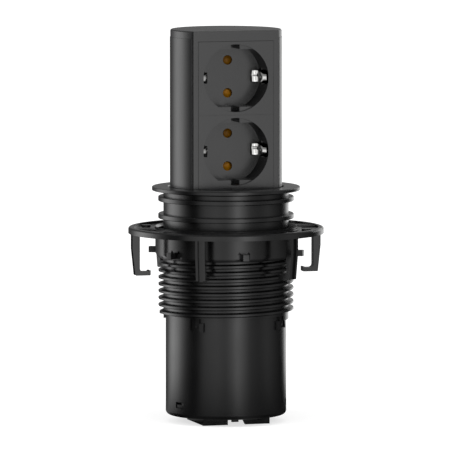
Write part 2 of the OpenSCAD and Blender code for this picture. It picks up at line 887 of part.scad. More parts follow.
module earth_bar() {
    color("goldenrod")
        difference() {
            box(9.2, 12.6, earth_y - earth_t, earth_y, terminal_z - 2.3, upper_socket_z + earth_w / 2);
            rod_y(1.25, 10.9, terminal_z, earth_y - 2, earth_y + 1);
        }
}

// Terminal block under the lower socket
module terminal_block() {
    low = terminal_z - 3;
    color("gainsboro")
        difference() {
            box(-13, 14, earth_y - 2.2, cover_y - 0.02, low, 1.8);
            for (x = [-8, 8]) {
                box(x - 2.3, x + 2.3, bar_y - 0.3, cover_y + 1, low - 1, 3);
                translate([x, bar_y - 3.2, low - 1])
                    cylinder(r = 1.6, h = 6.5);
                rod_y(1.2, x, terminal_z, bar_y - 6, bar_y);
            }
            box(8.9, 12.9, earth_y - earth_t - 0.3, earth_y + 0.3, low - 1, 3);
            translate([10.9, earth_y + 3, low - 1])
                cylinder(r = 1.6, h = 6.5);
            rod_y(1.2, 10.9, terminal_z, earth_y - 3, earth_y + 5.5);
            for (x = [-1, 1])
                rod_y(0.9, x * cover_screw_x, 0, cover_y - 8, cover_y);
        }
}

module terminal_screws() {
    color("silver") {
        for (x = [-8, 8])
            translate([x, bar_y + strip_t, terminal_z])
                rotate([-90, 0, 0])
                    screw(2.2, 6, 4, 1.2);
        translate([10.9, earth_y - 2.2, terminal_z])
            rotate([90, 0, 0])
                screw(2.2, 6, 4, 1.2);
    }
}

// Column base: closes the tube and carries damper, spring drum, cam and cable entry
module column_base() {
    edge = column_flat - plate_t;
    skirt = shell_in - seat_gap;
    wall_y = rail_y - 3.3;
    stop_y = bore_r - 1.4;
    color("dimgray")
        difference() {
            union() {
                translate([0, 0, base_bottom])
                    linear_extrude(lip_t - 0.02)
                        union() {
                            d_profile(column_r - 0.2, column_flat - 0.2);
                            intersection() {
                                circle(r = stop_y);
                                translate([-18, -stop_y])
                                    square([36, stop_y]);
                            }
                        }
                translate([0, 0, base_bottom + 1])
                    linear_extrude(base_floor - base_bottom - 1)
                        d_profile(skirt, edge - 2.2);
                translate([0, 0, base_floor - skin])
                    linear_extrude(7)
                        difference() {
                            d_profile(skirt, edge - 2.2);
                            d_profile(skirt - 1.8, edge - 4);
                            translate([-18, rail_y - 1])
                                square([36, skirt]);
                        }
                box(-18, 18, wall_y, wall_y + 2.2, base_floor - 0.5, mech_z + 8);
                rod_y(1.45, drum_x, mech_z, wall_y + 1.5, rail_y + 5.6);
                rod_y(2.4, drum_x, mech_z, wall_y + 1.5, rail_y - 0.7);
                box(cable_x - 9, cable_x + 9, cable_y + 1.5, cable_y + 8, base_floor - 0.5, base_floor + 7.5);
            }
            box(-rail_w / 2 - 1.7, rail_w / 2 + tooth_tip + 0.4, rail_y - 0.3, rail_y + rail_t + 0.3,
                base_bottom - 1, base_floor + 1);
            box(cam_x - groove_half - 0.9, cam_x + groove_half + 0.9, arm_y - 1, cam_y + groove_depth + 0.2,
                base_bottom - 1, base_floor + 0.5);
            translate([cable_x, cable_y, base_bottom - 1])
                cylinder(r = cable_r + 1.3, h = base_floor - base_bottom + 2);
            translate([cable_x, cable_y, base_floor])
                cylinder(r = cable_r, h = 10);
            rod_y(1.3, pinion_x, mech_z, wall_y - 1, wall_y + 4);
            for (x = [-1, 1])
                translate([cam_x + x * 6.6, cam_y + cam_t - 1.1, base_bottom - 1])
                    cylinder(r = 0.9, h = 8);
            for (x = [-1, 1])
                rod_y(1, cable_x + x * 7, base_floor + 4, cable_y, cable_y + 7);
            for (a = [-50, 50])
                rotate([0, 0, a])
                    translate([0, column_r, -column_tail + 5])
                        rotate([90, 0, 0])
                            cylinder(r = 1.25, h = 8);
        }
}

module base_screws() {
    color("silver")
        for (a = [-50, 50])
            rotate([0, 0, a])
                translate([0, column_r - 0.3, -column_tail + 5])
                    rotate([90, 0, 0]) {
                        cylinder(r1 = 2.5, r2 = 1.2, h = 1.3);
                        cylinder(r = 1.2, h = 6);
                    }
}

module cable_bush() {
    color("dimgray")
        difference() {
            union() {
                translate([cable_x, cable_y, base_bottom - 2])
                    cylinder(r = cable_r + 2.6, h = 1.98);
                translate([cable_x, cable_y, base_bottom - 0.5])
                    cylinder(r = cable_r + 1.25, h = base_floor - base_bottom + 1.2);
            }
            translate([cable_x, cable_y, base_bottom - 3])
                cylinder(r = cable_r, h = 12);
        }
}

module cable_clamp() {
    color("gray")
        difference() {
            box(cable_x - 9, cable_x + 9, cable_y - 6, cable_y - 1.5, base_floor + 1.2, base_floor + 6.8);
            translate([cable_x, cable_y, base_floor - 1])
                cylinder(r = cable_r, h = 10);
            for (x = [-1, 1])
                rod_y(1.2, cable_x + x * 7, base_floor + 4, cable_y - 7, cable_y);
        }
}

module clamp_screws() {
    color("silver")
        for (x = [-1, 1])
            translate([cable_x + x * 7, cable_y - 6, base_floor + 4])
                rotate([90, 0, 0])
                    screw(1.9, 10, 4, 1.4);
}

// Rotary damper: a sealed drum whose shaft carries the pinion
module damper_body() {
    wall_y = rail_y - 3.3;
    color("darkslategray")
        difference() {
            union() {
                rod_y(7, pinion_x, mech_z, wall_y - 6, wall_y - 0.02);
                box(pinion_x - 10, pinion_x + 10, wall_y - 1.6, wall_y - 0.02, mech_z - 2, mech_z + 2);
            }
            rod_y(1.3, pinion_x, mech_z, wall_y - 4.5, wall_y + 1);
        }
}

// Flank of a pinion tooth at radius r, as a half angle in degrees
base_circle = pitch_r * cos(20);
function involute(r) = let (a = acos(min(1, base_circle / r))) tan(a) * 180 / PI - a;
function half_angle(r) = 90 / pinion_teeth - tooth_gap / pitch_r * 90 / PI + involute(pitch_r)
    - involute(max(r, base_circle));

module pinion_2d() {
    root = pitch_r - tooth_root - 0.2;
    radii = [for (i = [0:4]) root - 0.3 + (pitch_r + tooth_tip - root + 0.3) * i / 4];
    circle(r = root);
    for (t = [0:pinion_teeth - 1])
        rotate(180 + t * 360 / pinion_teeth)
            polygon(concat([for (r = radii) [r * cos(half_angle(r)), -r * sin(half_angle(r))]],
                           [for (i = [4:-1:0]) [radii[i] * cos(half_angle(radii[i])),
                                                radii[i] * sin(half_angle(radii[i]))]]));
}

module damper_pinion() {
    wall_y = rail_y - 3.3;
    color("white") {
        translate([pinion_x, rail_y + 0.6 + pinion_t, mech_z])
            rotate([90, 0, 0])
                linear_extrude(pinion_t)
                    pinion_2d();
        rod_y(1.3 - pivot_gap, pinion_x, mech_z, wall_y - 3.8, rail_y + 1);
    }
}

module spring_drum() {
    color("white")
        difference() {
            union() {
                rod_y(3.4, drum_x, mech_z, rail_y + 0.2, rail_y + 0.6 + strip_w);
                rod_y(5, drum_x, mech_z, rail_y - 0.6, rail_y + 0.4);
            }
            rod_y(1.5, drum_x, mech_z, rail_y - 2, rail_y + 7);
        }
}

// Coil of the lift spring: a flat strip wound on the drum
coil_turns = 4.5;
coil_steps = 24;
coil_in = 3.45;

function coil_point(i, offset) =
    let (a = 360 * (i / coil_steps),
         r = coil_in + (coil_r - 0.15 - coil_in) * i / (coil_turns * coil_steps) + offset)
    [r * cos(a - 360 * coil_turns), r * sin(a - 360 * coil_turns)];

module spring_coil() {
    n = coil_turns * coil_steps;
    color("silver")
        translate([drum_x, rail_y + 0.5 + strip_w, mech_z])
            rotate([90, 0, 0])
                linear_extrude(strip_w)
                    polygon(concat([for (i = [0:n]) coil_point(i, 0)],
                                   [for (i = [n:-1:0]) coil_point(i, 0.15)]));
}

// Cam plate: the heart-shaped track that the latch arm follows
module cam_plate() {
    low = base_floor;
    color("white")
        difference() {
            union() {
                box(cam_x - 7.6, cam_x + 7.6, cam_y, cam_y + cam_t, low, groove_top + 2);
                for (x = [-1, 1])
                    translate([cam_x + x * 6.6, cam_y + cam_t - 1.1, low - 2])
                        cylinder(r = 0.8, h = 3);
            }
            translate([cam_x, cam_y + groove_depth, 0])
                rotate([90, 0, 0])
                    linear_extrude(groove_depth + 1)
                        difference() {
                            polygon([[-groove_half, low - 1], [groove_half, low - 1],
                                     [groove_half, groove_top - 1.2],
                                     [groove_half - 1.2, groove_top], [1.2 - groove_half, groove_top],
                                     [-groove_half, groove_top - 1.2]]);
                            polygon([[0, notch_z], [1.6, notch_z + 1.4], [island_half, notch_z + 0.6],
                                     [island_half, notch_z - 2], [0, notch_z - 6], [-island_half, notch_z - 2],
                                     [-island_half, notch_z + 0.6], [-1.6, notch_z + 1.4]]);
                        }
        }
}

// Latch arm: swings in the clevis and carries the follower pin
module latch_arm() {
    color("silver")
        difference() {
            union() {
                rod_y(2.2, arm_x, pivot_z, arm_y, arm_y + arm_t);
                box(arm_x - 1.2, arm_x + 1.2, arm_y, arm_y + arm_t, pivot_z, pin_z);
                rod_y(1.4, arm_x, pin_z, arm_y, arm_y + arm_t);
                rod_y(follower_r, arm_x, pin_z, arm_y + 0.5, cam_y + groove_depth - 0.3);
            }
            rod_y(1.2 + pivot_gap, arm_x, pivot_z, arm_y - 1, arm_y + arm_t + 1);
        }
}

// Shutter: one slider with a domed pad behind each pin hole
module shutter(z) {
    half_h = pin_spacing / 2 + 3.4;
    pad_r = pin_hole_d / 2 - 0.15;
    rise = 0.75;
    ball = (pad_r * pad_r + rise * rise) / (2 * rise);
    color("darkorange")
        translate([0, 0, z]) {
            difference() {
                box(-4, 4, shutter_y, shutter_y + shutter_t, -half_h, half_h - 0.8);
                box(-1.7, 1.7, shutter_y - 1, shutter_y + shutter_t + 1, -6.2, 5);
                rod_y(pin_hole_d / 2 + 0.15, 0, shutter_travel - pin_spacing / 2, shutter_y - 1,
                      shutter_y + shutter_t + 1);
            }
            intersection() {
                for (s = [-1, 1])
                    translate([0, shutter_y + ball - rise, s * pin_spacing / 2])
                        sphere(r = ball);
                box(-4, 4, shutter_y - 2, shutter_y + 0.5, -half_h, half_h - 0.8);
            }
        }
}

// Shutter spring: a wound wire between the post and the slider
wire_r = 0.2;
spring_r = 1;
spring_turns = 7;

function spring_ring(i, z0, z1) =
    let (a = 360 * i / 8, z = z0 + (z1 - z0) * i / (8 * spring_turns))
    [for (k = [0:5])
        let (r = spring_r + wire_r * cos(60 * k))
        [r * cos(a), r * sin(a), z + wire_r * sin(60 * k)]];

module shutter_spring(z) {
    n = 8 * spring_turns;
    low = z - 5 + wire_r + 0.05;
    high = z + 5 - wire_r - 0.05;
    points = [for (i = [0:n]) each spring_ring(i, low, high)];
    faces = concat([[5, 4, 3, 2, 1, 0]],
                   [for (i = [0:n - 1], k = [0:5])
                       let (a = 6 * i + k, b = 6 * i + (k + 1) % 6)
                       each [[a, b, a + 6], [b, b + 6, a + 6]]],
                   [[for (k = [0:5]) 6 * n + k]]);
    color("silver")
        translate([0, shutter_y + shutter_t / 2 + 0.45, 0])
            polyhedron(points, faces, convexity = 10);
}

// Glide pads that centre the base in the bore
module glide_pads() {
    color("ivory")
        for (a = [60, 180, 300])
            rotate([0, 0, a])
                intersection() {
                    translate([0, 0, base_bottom - 1])
                        linear_extrude(1)
                            ring_2d(bore_r - slide_gap, column_r - 3);
                    box(-5, 5, -bore_r, 0, base_bottom - 2, 0);
                }
}

barrel();
front_guide();
lower_housing();
bottom_insert();
guide_rail();
rail_screws();
lift_strip();
strip_screw();
clamp_ring();
clamp_nut();
column_shell();
front_plate();
top_cap();
socket_module(upper_socket_z);  // socket_upper
socket_module(lower_socket_z);  // socket_lower
carrier(upper_socket_z);  // carrier_upper
carrier(lower_socket_z);  // carrier_lower
rear_cover();
cover_screws();
earth_clip(upper_socket_z);  // earth_clip_upper
earth_clip(lower_socket_z);  // earth_clip_lower
line_bar();
neutral_bar();
earth_bar();
terminal_block();
terminal_screws();
column_base();
base_screws();
cable_bush();
cable_clamp();
clamp_screws();
damper_body();
cam_plate();
shutter(upper_socket_z);  // shutter_upper
shutter(lower_socket_z);  // shutter_lower
shutter_spring(upper_socket_z);  // shutter_spring_upper
shutter_spring(lower_socket_z);  // shutter_spring_lower
damper_pinion();
spring_drum();
spring_coil();
latch_arm();
glide_pads();
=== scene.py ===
# %% [markdown]
# # A pop up desk socket
# The real object is a column with two earthed sockets. It rises out of a threaded barrel that sits in a
# round hole in a worktop, and a clamp ring below the worktop holds the barrel. Nearly every part is satin
# black plastic, so the looks rest on three things: edges that are rounded and catch the light, a fine
# moulded texture, and a studio with bright and dark zones for the plastic to reflect.
#
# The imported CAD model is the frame. Each CAD part comes in at its true place, in metres.

# %% Load the frame
import json
import math

import bmesh
import bpy
from mathutils import Matrix, Vector
from mathutils.geometry import area_tri, tessellate_polygon


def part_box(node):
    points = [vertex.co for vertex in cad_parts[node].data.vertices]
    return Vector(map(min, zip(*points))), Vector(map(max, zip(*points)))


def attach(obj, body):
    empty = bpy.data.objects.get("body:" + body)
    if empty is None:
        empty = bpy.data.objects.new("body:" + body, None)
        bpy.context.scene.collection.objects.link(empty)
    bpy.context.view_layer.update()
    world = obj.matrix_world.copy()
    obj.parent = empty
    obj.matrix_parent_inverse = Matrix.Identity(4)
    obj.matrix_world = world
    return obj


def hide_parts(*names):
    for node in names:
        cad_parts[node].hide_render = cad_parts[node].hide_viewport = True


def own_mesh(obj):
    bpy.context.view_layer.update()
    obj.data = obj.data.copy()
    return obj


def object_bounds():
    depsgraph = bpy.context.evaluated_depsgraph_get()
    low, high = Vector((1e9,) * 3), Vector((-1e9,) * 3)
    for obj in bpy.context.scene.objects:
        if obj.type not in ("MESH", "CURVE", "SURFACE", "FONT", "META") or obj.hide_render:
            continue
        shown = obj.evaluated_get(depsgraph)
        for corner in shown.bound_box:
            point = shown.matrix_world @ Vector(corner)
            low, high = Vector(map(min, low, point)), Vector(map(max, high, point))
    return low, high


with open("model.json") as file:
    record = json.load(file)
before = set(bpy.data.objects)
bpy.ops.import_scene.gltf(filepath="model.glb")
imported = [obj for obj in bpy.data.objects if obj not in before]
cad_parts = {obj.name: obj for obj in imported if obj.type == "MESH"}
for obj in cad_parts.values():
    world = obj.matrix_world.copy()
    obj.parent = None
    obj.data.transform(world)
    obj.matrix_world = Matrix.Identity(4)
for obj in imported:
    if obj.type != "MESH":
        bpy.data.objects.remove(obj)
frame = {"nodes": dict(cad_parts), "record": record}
cad_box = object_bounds()
nodes = frame["nodes"]
MM = 0.001
print("CAD parts:", len(nodes), "box in mm:", [[round(v / MM, 1) for v in corner] for corner in cad_box])

# %% [markdown]
# ## Camera
# The photograph was taken from about 3.6 m away with a long lens. The column's flat front is turned 16.9
# degrees to the viewer's right, and the lens looks down by 5.2 degrees. At this distance one pixel of the
# 452-pixel frame covers 0.578 mm on the column's axis, and that sets the focal length.

# %% Place the camera
PIXELS = 452
MM_PER_PIXEL = 0.578
SENSOR_MM = 36
DISTANCE = 3.6
TURN = math.radians(16.9)
DOWN = math.radians(5.2)
AIM = Vector((0, 0, -0.021))

lens_data = bpy.data.cameras.new("studio_camera")
lens_data.sensor_width = SENSOR_MM
lens_data.lens = DISTANCE / (MM_PER_PIXEL * MM) / PIXELS * SENSOR_MM
lens_data.clip_start = 0.1
lens_data.clip_end = 100
camera = bpy.data.objects.new("studio_camera", lens_data)
bpy.context.scene.collection.objects.link(camera)
away = Vector((-math.sin(TURN) * math.cos(DOWN), -math.cos(TURN) * math.cos(DOWN), math.sin(DOWN)))
camera.location = AIM + away * DISTANCE
camera.rotation_euler = (-away).to_track_quat("-Z", "Y").to_euler()
bpy.context.scene.camera = camera
bpy.context.scene.view_settings.view_transform = "Standard"
print("lens", round(lens_data.lens, 1), "mm")

# %% [markdown]
# ## A short way to write shader maths
# A node tree is easier to read as an expression than as a list of links. `Wire` wraps one output socket,
# and its operators add Math nodes. `Tree` fills any node tree, and adds every other node with its settings
# and inputs in one call. `Finish` is the tree of a new material, with the patterns that materials share.

# %% Shader helpers
class Wire:
    """One output socket of a tree."""
    def __init__(self, tree, socket):
        self.tree = tree
        self.socket = socket

    def _math(self, operation, a, b):
        return self.tree.out(self.tree.node("ShaderNodeMath", {"operation": operation}, {0: a, 1: b}))

    def __add__(self, other):
        return self._math("ADD", self, other)

    def __radd__(self, other):
        return self._math("ADD", other, self)

    def __sub__(self, other):
        return self._math("SUBTRACT", self, other)

    def __rsub__(self, other):
        return self._math("SUBTRACT", other, self)

    def __mul__(self, other):
        return self._math("MULTIPLY", self, other)

    def __rmul__(self, other):
        return self._math("MULTIPLY", other, self)

    def __truediv__(self, other):
        return self._math("DIVIDE", self, other)

    def __rtruediv__(self, other):
        return self._math("DIVIDE", other, self)


class Tree:
    """A node tree to fill: of the world, of Geometry Nodes or, as a Finish, of a material."""
    def __init__(self, tree):
        self.tree = tree

    def node(self, kind, settings=None, inputs=None):
        """Add a node. Its settings come first, and a ramp's stops are (place, colour) pairs."""
        made = self.tree.nodes.new(kind)
        for key, value in (settings or {}).items():
            if key == "stops":
                while len(made.color_ramp.elements) < len(value):
                    made.color_ramp.elements.new(0.5)
                for element, (place, colour) in zip(made.color_ramp.elements, value):
                    element.position = place
                    element.color = (*colour, 1)
            else:
                setattr(made, key, value)
        for key, value in (inputs or {}).items():
            if isinstance(value, Wire):
                self.tree.links.new(value.socket, made.inputs[key])
            else:
                made.inputs[key].default_value = value
        return made

    def out(self, made, key=0):
        return Wire(self, made.outputs[key])

    def ease(self, value, start, end, low, high):
        """Go softly from low to high while the value goes from start to end."""
        made = self.node("ShaderNodeMapRange", {"interpolation_type": "SMOOTHSTEP"},
                         {"Value": value, "From Min": start, "From Max": end, "To Min": low, "To Max": high})
        return self.out(made, "Result")

    def rays(self):
        """Two masks: the camera sees this point itself, or sees it in or through another surface."""
        path = self.node("ShaderNodeLightPath")
        mirrored = self.node("ShaderNodeMath", {"operation": "MAXIMUM"},
                             {0: self.out(path, "Is Glossy Ray"), 1: self.out(path, "Is Transmission Ray")})
        return self.out(path, "Is Camera Ray"), self.out(mirrored)


class Finish(Tree):
    """The tree of a new material."""
    def __init__(self, name):
        self.material = bpy.data.materials.new(name)
        self.material.use_nodes = True
        super().__init__(self.material.node_tree)
        self.tree.nodes.clear()

    def noise(self, per_metre, detail=2.0, rough=0.5, stretch=(1, 1, 1)):
        """Noise on Object coordinates. A stretch below 1 draws it out along that axis."""
        coords = self.node("ShaderNodeTexCoord")
        mapping = self.node("ShaderNodeMapping", {}, {"Vector": self.out(coords, "Object"), "Scale": stretch})
        made = self.node("ShaderNodeTexNoise", {}, {"Vector": self.out(mapping), "Scale": per_metre,
                                                    "Detail": detail, "Roughness": rough})
        return self.out(made, "Fac")

    def blend(self, factor, first, second):
        """Mix two colours. The sockets of the colour mode have these numbers."""
        made = self.node("ShaderNodeMix", {"data_type": "RGBA"}, {0: factor, 6: (*first, 1), 7: (*second, 1)})
        return self.out(made, 2)

    def span(self, noise, low, high):
        """Spread the middle of a noise, where most of it lies, over a range of values."""
        made = self.node("ShaderNodeMapRange", {}, {"Value": noise, "From Min": 0.3, "From Max": 0.7,
                                                    "To Min": low, "To Max": high})
        return self.out(made, "Result")

    def bump(self, height, distance, strength):
        made = self.node("ShaderNodeBump", {}, {"Height": height, "Distance": distance, "Strength": strength})
        return self.out(made, "Normal")

    def surface(self, **sockets):
        """End the tree in one Principled shader. An underscore stands for a space in a socket's name."""
        shader = self.node("ShaderNodeBsdfPrincipled", {},
                           {key.replace("_", " "): value for key, value in sockets.items()})
        self.node("ShaderNodeOutputMaterial", {}, {"Surface": self.out(shader)})
        return self.material


# %% [markdown]
# ## Studio
# The camera sees plain white everywhere. What the plastic and the metal reflect is another matter: black
# plastic is drawn almost wholly by reflections, and in the photo each upright face shows the same pattern
# of light and dark bands. So the surroundings that reflections see are drawn as one ramp by compass
# direction: a broad softbox behind on the left, one in front a little to the right, one behind on the
# right, and grey or dark gaps between them. Overhead, the ramp gives way to one even grey. A long lens
# looks down a little, so reflections of upright faces meet the floor. The floor therefore carries the same
# pattern for reflections, and close to the object it is dark: painted shade that keeps undersides and grooves
# black.

# %% World
RIGHT = Vector((math.cos(TURN), -math.sin(TURN), 0))
TOWARD = Vector((-math.sin(TURN), -math.cos(TURN), 0))
# Degrees from the camera, positive to the viewer's right, and brightness as a share of BAND_TOP
BAND_TOP = 2.4
BANDS = [(-180, 0.10), (-168, 0.05), (-152, 0.04), (-139, 0.14), (-127, 0.58), (-116, 0.98), (-101, 0.96),
         (-90, 0.48), (-78, 0.12), (-66, 0.0), (-54, 0.02), (-40, 0.30), (-18, 0.42), (0, 0.30), (12, 0.56),
         (21, 1.0), (31, 0.60), (44, 0.22), (62, 0.14), (82, 0.20), (102, 0.08), (124, 0.0), (136, 0.08),
         (146, 0.50), (156, 0.66), (168, 0.44), (180, 0.10)]


def bands(tree, vector):
    """Brightness by compass direction of a direction or a place."""
    across = tree.node("ShaderNodeVectorMath", {"operation": "DOT_PRODUCT"}, {0: vector, 1: RIGHT})
    ahead = tree.node("ShaderNodeVectorMath", {"operation": "DOT_PRODUCT"}, {0: vector, 1: TOWARD})
    angle = tree.node("ShaderNodeMath", {"operation": "ARCTAN2"},
                      {0: tree.out(across, "Value"), 1: tree.out(ahead, "Value")})
    share = tree.out(angle) / (2 * math.pi) + 0.5
    ramp = tree.node("ShaderNodeValToRGB", {"stops": [(d / 360 + 0.5, (v, v, v)) for d, v in BANDS]},
                     {"Fac": share})
    return tree.out(ramp, "Color") * BAND_TOP


# What reflections see above the ramp, and the even light that the room throws on every surface
OVERHEAD_LEVEL = 0.24
ROOM_LEVEL = 0.6
world = bpy.data.worlds.new("studio")
bpy.context.scene.world = world
world.use_nodes = True
world.node_tree.nodes.clear()
sky = Tree(world.node_tree)
direction = sky.out(sky.node("ShaderNodeTexCoord"), "Generated")
height = sky.out(sky.node("ShaderNodeSeparateXYZ", {}, {"Vector": direction}), "Z")
overhead = sky.ease(height, 0.12, 0.5, 0, 1)
camera_sees, mirror_sees = sky.rays()
reflected = bands(sky, direction) * (1 - overhead) + overhead * OVERHEAD_LEVEL
level = camera_sees + (1 - camera_sees) * (mirror_sees * reflected + (1 - mirror_sees) * ROOM_LEVEL)
backdrop_light = sky.node("ShaderNodeBackground", {}, {"Color": level, "Strength": 1.0})
sky.node("ShaderNodeOutputWorld", {}, {"Surface": sky.out(backdrop_light)})
print("world nodes:", len(world.node_tree.nodes))

# %% [markdown]
# ## Floor
# The floor is a sheet of white paper at the object's lowest point. A Mix Shader gives it three skins: a
# pale one for the camera, whose glow fades close to the object so that the object's shadow still shows, a
# plain dim one for the light that it throws back on the object, and the bands for what the plastic mirrors,
# which fade to dark close to the object as painted shade.

# %% Floor
FLOOR_HALF = 60
floor_z = cad_box[0].z
floor_mesh = bpy.data.meshes.new("floor")
floor_corners = [(x * FLOOR_HALF, y * FLOOR_HALF, floor_z) for x, y in ((-1, -1), (1, -1), (1, 1), (-1, 1))]
floor_mesh.from_pydata(floor_corners, [], [(0, 1, 2, 3)])
floor = bpy.data.objects.new("floor", floor_mesh)
bpy.context.scene.collection.objects.link(floor)

paper = Finish("white_paper")
spot = paper.out(paper.node("ShaderNodeTexCoord"), "Object")
flat_spot = paper.node("ShaderNodeVectorMath", {"operation": "MULTIPLY"}, {0: spot, 1: (1, 1, 0)})
distance = paper.node("ShaderNodeVectorMath", {"operation": "LENGTH"}, {0: paper.out(flat_spot)})
reach = paper.out(distance, "Value")
seen_skin = paper.node("ShaderNodeBsdfPrincipled", {}, {
    "Base Color": paper.blend(paper.noise(300), (0.44, 0.44, 0.44), (0.46, 0.46, 0.46)),
    "Roughness": 0.9, "Specular IOR Level": 0.0,
    "Emission Color": paper.ease(reach, 0.1, 1.2, 0.68, 0.9), "Emission Strength": 1.0})
dim_skin = paper.node("ShaderNodeBsdfPrincipled", {}, {
    "Base Color": (0.2, 0.2, 0.2, 1), "Roughness": 0.9, "Specular IOR Level": 0.0})
# What the plastic mirrors: the bands, faded to dark close to the object as painted shade for undersides and grooves
reflected_bands_and_shade = paper.node("ShaderNodeBsdfPrincipled", {}, {
    "Base Color": (0, 0, 0, 1), "Specular IOR Level": 0.0,
    "Emission Color": bands(paper, spot) * paper.ease(reach, 0.02, 0.4, 0.08, 1.0), "Emission Strength": 1.0})
camera_sees, mirror_sees = paper.rays()
unseen = paper.node("ShaderNodeMixShader", {}, {0: mirror_sees, 1: paper.out(dim_skin), 2: paper.out(reflected_bands_and_shade)})
paper_mix = paper.node("ShaderNodeMixShader", {}, {0: camera_sees, 1: paper.out(unseen), 2: paper.out(seen_skin)})
paper.node("ShaderNodeOutputMaterial", {}, {"Surface": paper.out(paper_mix)})
floor_mesh.materials.append(paper.material)
print("floor at", round(floor_z / MM, 1), "mm")

# %% [markdown]
# ## Lamps
# Three large, weak lamps show the true colours of the amber shutters and the metals, and shade the object
# softly. The plastic doesn't mirror them, because the bands already draw all that it mirrors.

# %% Lamps
def softbox(name, azimuth, height, distance, side, watts):
    """A square lamp that faces the object. Azimuth counts from the camera, to the viewer's right."""
    angle = math.radians(azimuth)
    place = (RIGHT * math.sin(angle) + TOWARD * math.cos(angle)) * distance + Vector((0, 0, height))
    lamp = bpy.data.lights.new(name, "AREA")
    lamp.shape = "SQUARE"
    lamp.size = side
    lamp.energy = watts
    holder = bpy.data.objects.new(name, lamp)
    holder.location = place
    holder.rotation_euler = (place - AIM).to_track_quat("Z", "Y").to_euler()
    holder.visible_glossy = False
    bpy.context.scene.collection.objects.link(holder)
    return holder


lamps = [softbox("key_left", -62, 0.75, 1.5, 0.7, 12),
         softbox("fill_right", 55, 0.75, 1.5, 0.7, 8),
         softbox("top", 10, 1.6, 0.5, 1.0, 10)]
print("lamps:", [lamp.name for lamp in lamps])

# %% [markdown]
# ## Moulded plastic
# A mould leaves a fine, even grain, and the plastic over it shines in a soft way. A close look shows that
# the sheen and the tone drift a little. So one function makes every plastic: a fine noise feeds the bump,
# and two slow noises move the roughness and the colour by a small amount.

# %% Plastics
def moulded(name, colour, sheen, drift=0.12, grain_mm=0.28, depth_mm=0.012, shine=0.5):
    """A plastic with a mould's grain. Its tone drifts by a share, and its roughness lies round the sheen."""
    finish = Finish(name)
    slow = finish.noise(55, 3, 0.55)
    flow = finish.noise(160, 2, 0.5, stretch=(1, 1, 0.35))
    grain = finish.noise(1 / (grain_mm * MM), 2, 0.6)
    light = tuple(min(1, c * (1 + drift)) for c in colour)
    dark = tuple(c * (1 - drift) for c in colour)
    rough = finish.span(slow, sheen - 0.035, sheen + 0.035) + finish.span(flow, -0.02, 0.02)
    return finish.surface(Base_Color=finish.blend(slow, dark, light), Roughness=rough,
                          Specular_IOR_Level=shine, Normal=finish.bump(grain, depth_mm * MM, 0.6))


def smooth_black(name, colour, sheen, **settings):
    """The plastic of the parts that show: finer grain, and hardly any depth."""
    return moulded(name, colour, sheen, **{"grain_mm": 0.2, "depth_mm": 0.003, **settings})


plastics = {
    "housing_plastic": smooth_black("satin_black", (0.006, 0.006, 0.0062), 0.22, depth_mm=0.004),
    "guide_plastic": moulded("dark_grey_plastic", (0.016, 0.016, 0.017), 0.4),
    "column_plastic": smooth_black("graphite_skin", (0.008, 0.008, 0.0083), 0.22),
    "front_plastic": smooth_black("front_black", (0.010, 0.010, 0.0103), 0.23, shine=0.7),
    "cap_plastic": smooth_black("cap_graphite", (0.014, 0.014, 0.0145), 0.28),
    "socket_plastic": smooth_black("socket_black", (0.010, 0.010, 0.0102), 0.23, shine=0.7),
    "carrier_plastic": moulded("carrier_grey", (0.05, 0.05, 0.054), 0.5),
    "terminal_plastic": moulded("terminal_white", (0.62, 0.61, 0.57), 0.42, drift=0.04),
    "slip_plastic": moulded("slip_white", (0.72, 0.71, 0.67), 0.3, drift=0.03, depth_mm=0.004),
    "shutter_plastic": moulded("shutter_amber", (0.35, 0.145, 0.004), 0.3, drift=0.08, depth_mm=0.003,
                               shine=0.15),
}
print("plastics:", ", ".join(plastics))

# %% [markdown]
# ## Metals and rubber
# Rolled strip shows fine lines along its length, nickel plating is bright with a faint cloud, and zinc on
# a screw has a fine, even grain. Long, thin noise makes the lines. Rubber is rough and nearly black.

# %% Metals and rubber
def rolled_metal(name, colour, sheen, along=(1, 1, 0.04), line_mm=0.12):
    """A metal with fine lines along the axis whose stretch is small."""
    finish = Finish(name)
    lines = finish.noise(1 / (line_mm * MM), 1, 0.5, stretch=along)
    cloud = finish.noise(120, 3, 0.6)
    dark = tuple(c * 0.86 for c in colour)
    rough = finish.span(cloud, sheen - 0.05, sheen + 0.06) + finish.span(lines, -0.03, 0.03)
    return finish.surface(Base_Color=finish.blend(cloud, dark, colour), Metallic=1.0, Roughness=rough,
                          Normal=finish.bump(lines, 0.002 * MM, 0.5))


def soft_rubber():
    finish = Finish("soft_rubber")
    grain = finish.noise(2500, 3)
    return finish.surface(Base_Color=finish.blend(grain, (0.012, 0.012, 0.012), (0.02, 0.02, 0.02)),
                          Roughness=0.78, Normal=finish.bump(grain, 0.03 * MM, 0.5))


finishes = {
    **plastics,
    "nickel": rolled_metal("nickel_plate", (0.86, 0.855, 0.84), 0.14, along=(0.05, 1, 1)),
    "contact_brass": rolled_metal("contact_brass", (0.78, 0.58, 0.27), 0.28),
    "steel": rolled_metal("zinc_steel", (0.64, 0.65, 0.67), 0.3, along=(1, 1, 1), line_mm=0.3),
    "spring_steel": rolled_metal("spring_steel", (0.5, 0.51, 0.53), 0.26),
    "soft_rubber": soft_rubber(),
}
print("finishes:", len(finishes))

# %% [markdown]
# ## Dressing the CAD parts
# The record names a material slot for each part. Each slot has one finish above, so one loop dresses all
# parts, the hidden ones too.

# %% Put a finish on every CAD part
slot_of = {part["node"]: part["material_slot"] for part in frame["record"]["subparts"]}
for name, part in nodes.items():
    part.data.materials.clear()
    part.data.materials.append(finishes[slot_of[name]])
print("dressed", len(nodes), "parts")

